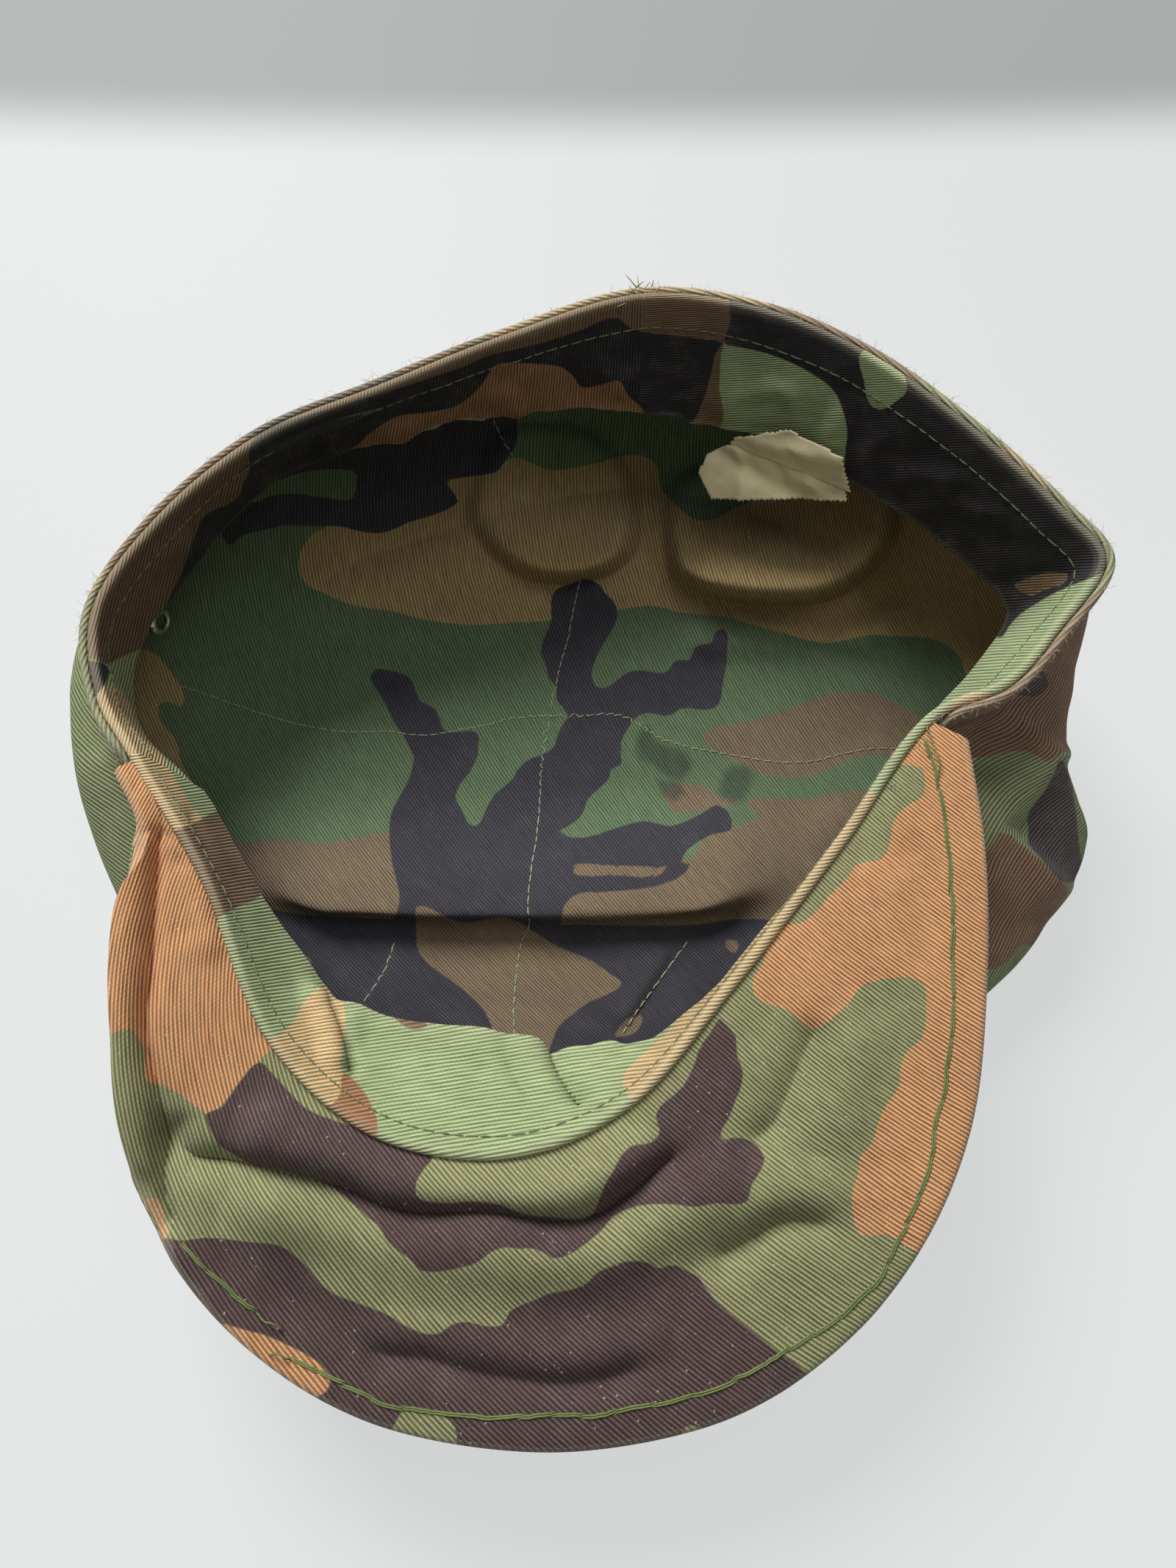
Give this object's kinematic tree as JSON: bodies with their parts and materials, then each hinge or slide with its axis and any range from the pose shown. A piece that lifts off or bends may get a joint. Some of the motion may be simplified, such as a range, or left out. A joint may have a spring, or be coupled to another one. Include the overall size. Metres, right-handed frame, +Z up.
{
  "type": "field cap",
  "caption": "Soft camouflage twill field cap lying upside down on its collapsed crown, with a stiffened visor, sweatband, quilted lining and vent eyelets.",
  "frame": {"origin": "on the outside of the crown, in the plane that the upturned cap rests on, under the head opening", "axes": "+Z up out of the head opening, -Y towards the visor, +X the wearer's right"},
  "size_m": [0.2246, 0.2461, 0.0774],
  "materials": {
    "outer_twill": "matte woven",
    "crown_twill": "matte woven",
    "lining_twill": "matte woven",
    "band_twill": "matte woven",
    "visor_twill": "matte woven",
    "elastic": "matte woven",
    "visor_board": "matte",
    "machine_thread": "matte",
    "mending_thread": "satin",
    "nickel": "satin",
    "label_tape": "matte woven"
  },
  "bodies": {
    "cap": {"side_wall_left": "outer_twill", "side_wall_right": "outer_twill", "crown_top": "crown_twill", "crown_lining": "lining_twill", "sweatband_left": "band_twill", "sweatband_right": "band_twill", "sweatband_front": "band_twill", "back_elastic": "elastic", "visor_under_cover": "visor_twill", "visor_board": "visor_board", "visor_top_cover": "visor_twill", "visor_mending_stitch": "mending_thread", "coronal_stitch": "machine_thread", "sagittal_stitch_back": "machine_thread", "sagittal_stitch_front": "machine_thread", "dart_stitch_front_left": "machine_thread", "dart_stitch_front_right": "machine_thread", "dart_stitch_back_left": "machine_thread", "dart_stitch_back_right": "machine_thread", "rim_topstitch": "machine_thread", "front_topstitch": "machine_thread", "eyelet_left_front": "nickel", "eyelet_left_back": "nickel", "eyelet_right_front": "nickel", "eyelet_right_back": "nickel", "washer_left_front": "nickel", "washer_left_back": "nickel", "washer_right_front": "nickel", "washer_right_back": "nickel"},
    "label": {"care_label": "label_tape"}
  },
  "joints": [
    {"name": "label_swing", "type": "hinge", "parent": "cap", "child": "label", "pos_m": [0.0432, 0.06425, 0.04613], "axis": [-0.8944, 0.4472, 0], "range_deg": [-33, 120]}
  ]
}
